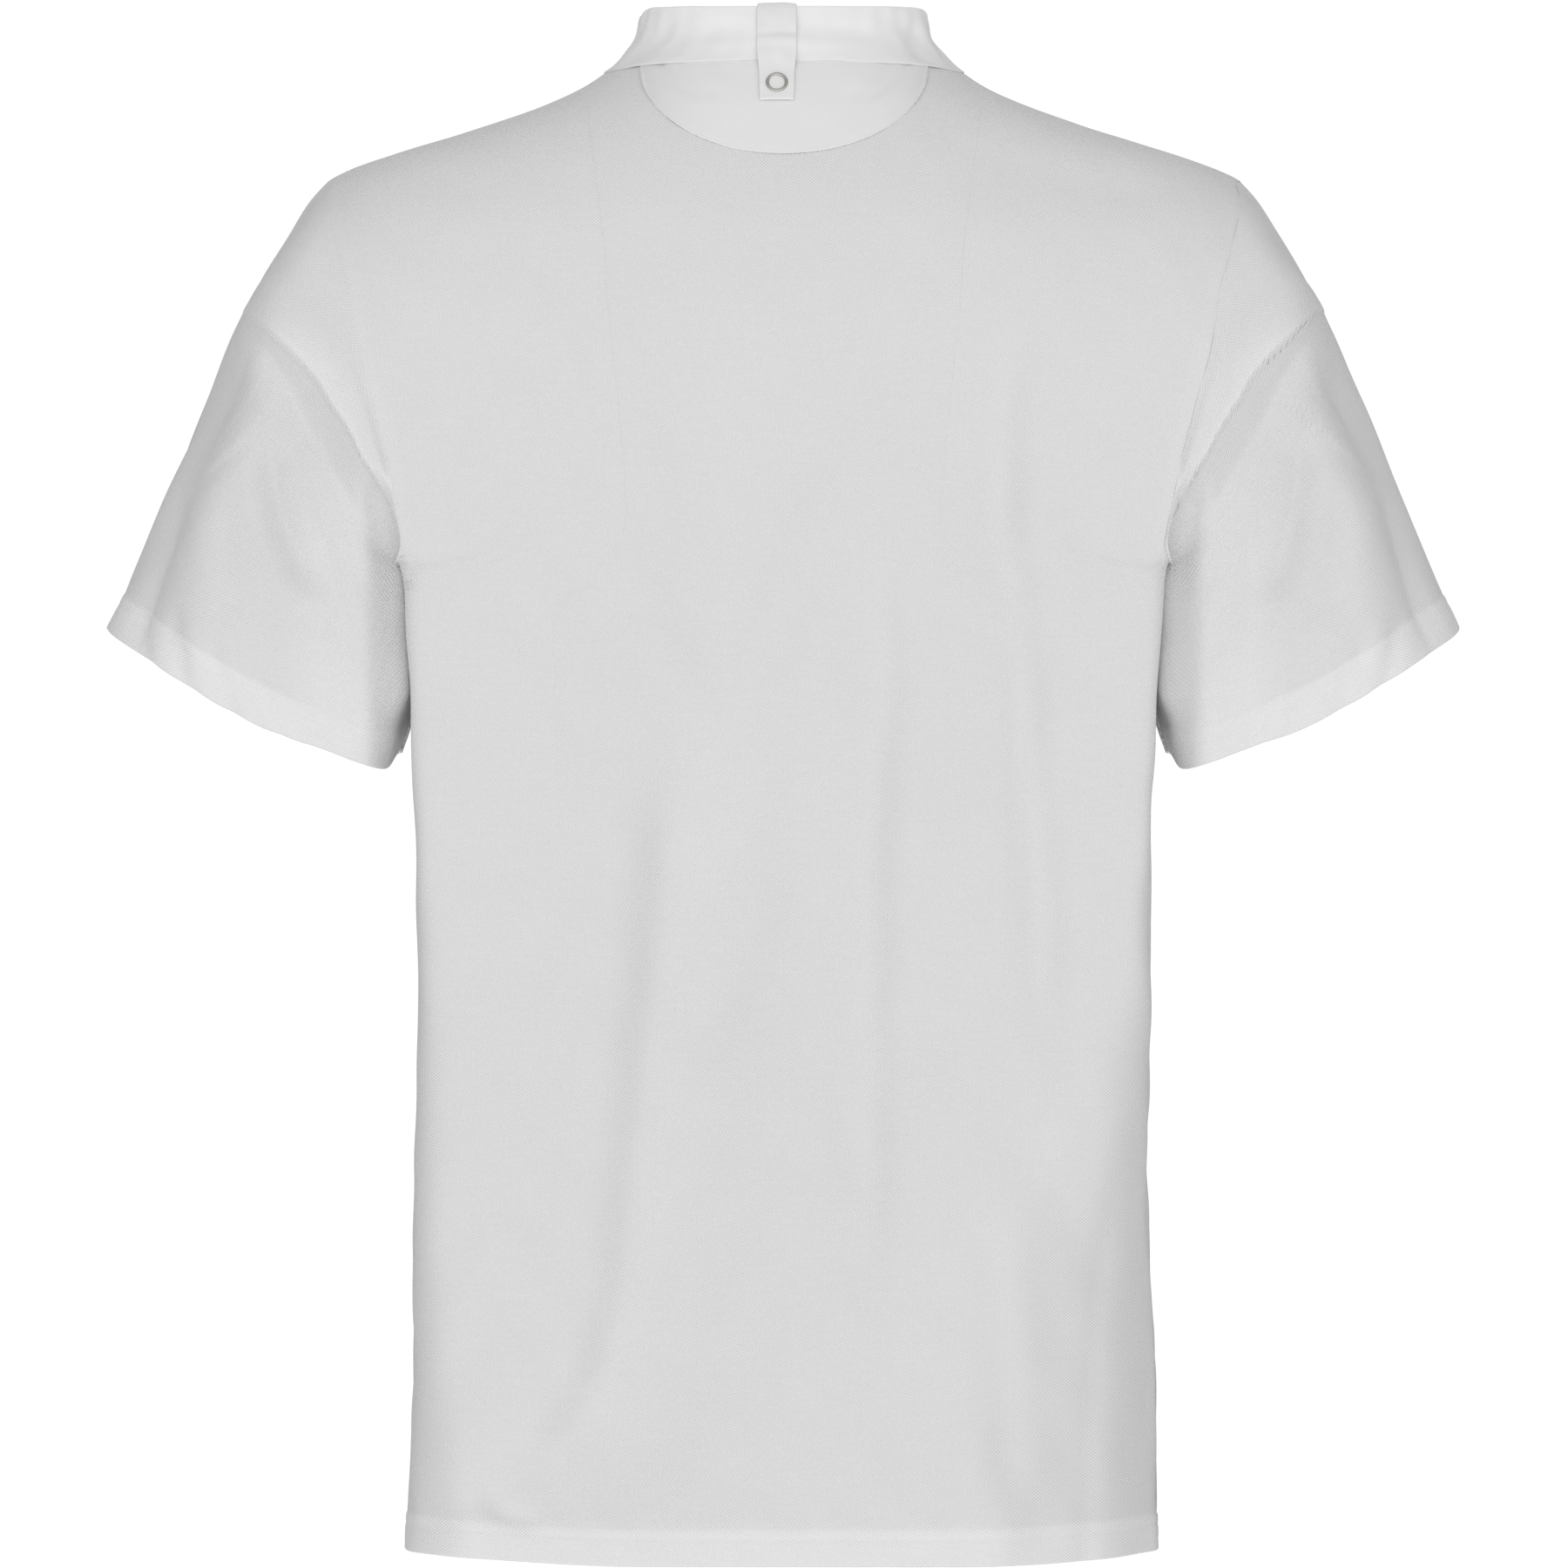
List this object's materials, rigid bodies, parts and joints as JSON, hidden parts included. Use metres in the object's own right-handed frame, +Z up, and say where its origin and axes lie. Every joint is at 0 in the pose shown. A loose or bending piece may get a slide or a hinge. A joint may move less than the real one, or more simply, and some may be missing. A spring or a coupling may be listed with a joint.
{
  "type": "chef polo shirt",
  "caption": "Short-sleeved chef polo shirt, filled out as worn with no wearer: stand collar, half-moon neck patch, snapped apron tab at the back neck, snap placket.",
  "frame": {"origin": "middle of the neck opening, level with the side neck points, where a wearer's shoulders carry the shirt", "axes": "+Z up; the wearer faces -Y, so the back with the patch and tab is at +Y; +X is the wearer's left"},
  "size_m": [0.6758, 0.2265, 0.7713],
  "materials": {
    "pique": "white cotton pique knit, matt, with a small raised honeycomb",
    "trim_cloth": "white close-woven cotton, smooth and matt",
    "snap_metal": "nickel-plated ring of a prong snap"
  },
  "bodies": {
    "root": {"back_panel": "pique", "front_panel": "pique", "left_sleeve": "pique", "right_sleeve": "pique", "stand_collar": "trim_cloth", "neck_patch": "trim_cloth", "apron_tab": "trim_cloth", "front_placket": "trim_cloth", "tab_snap": "snap_metal", "collar_snap": "snap_metal", "placket_snap_1": "snap_metal", "placket_snap_2": "snap_metal", "placket_snap_3": "snap_metal"}
  },
  "joints": []
}
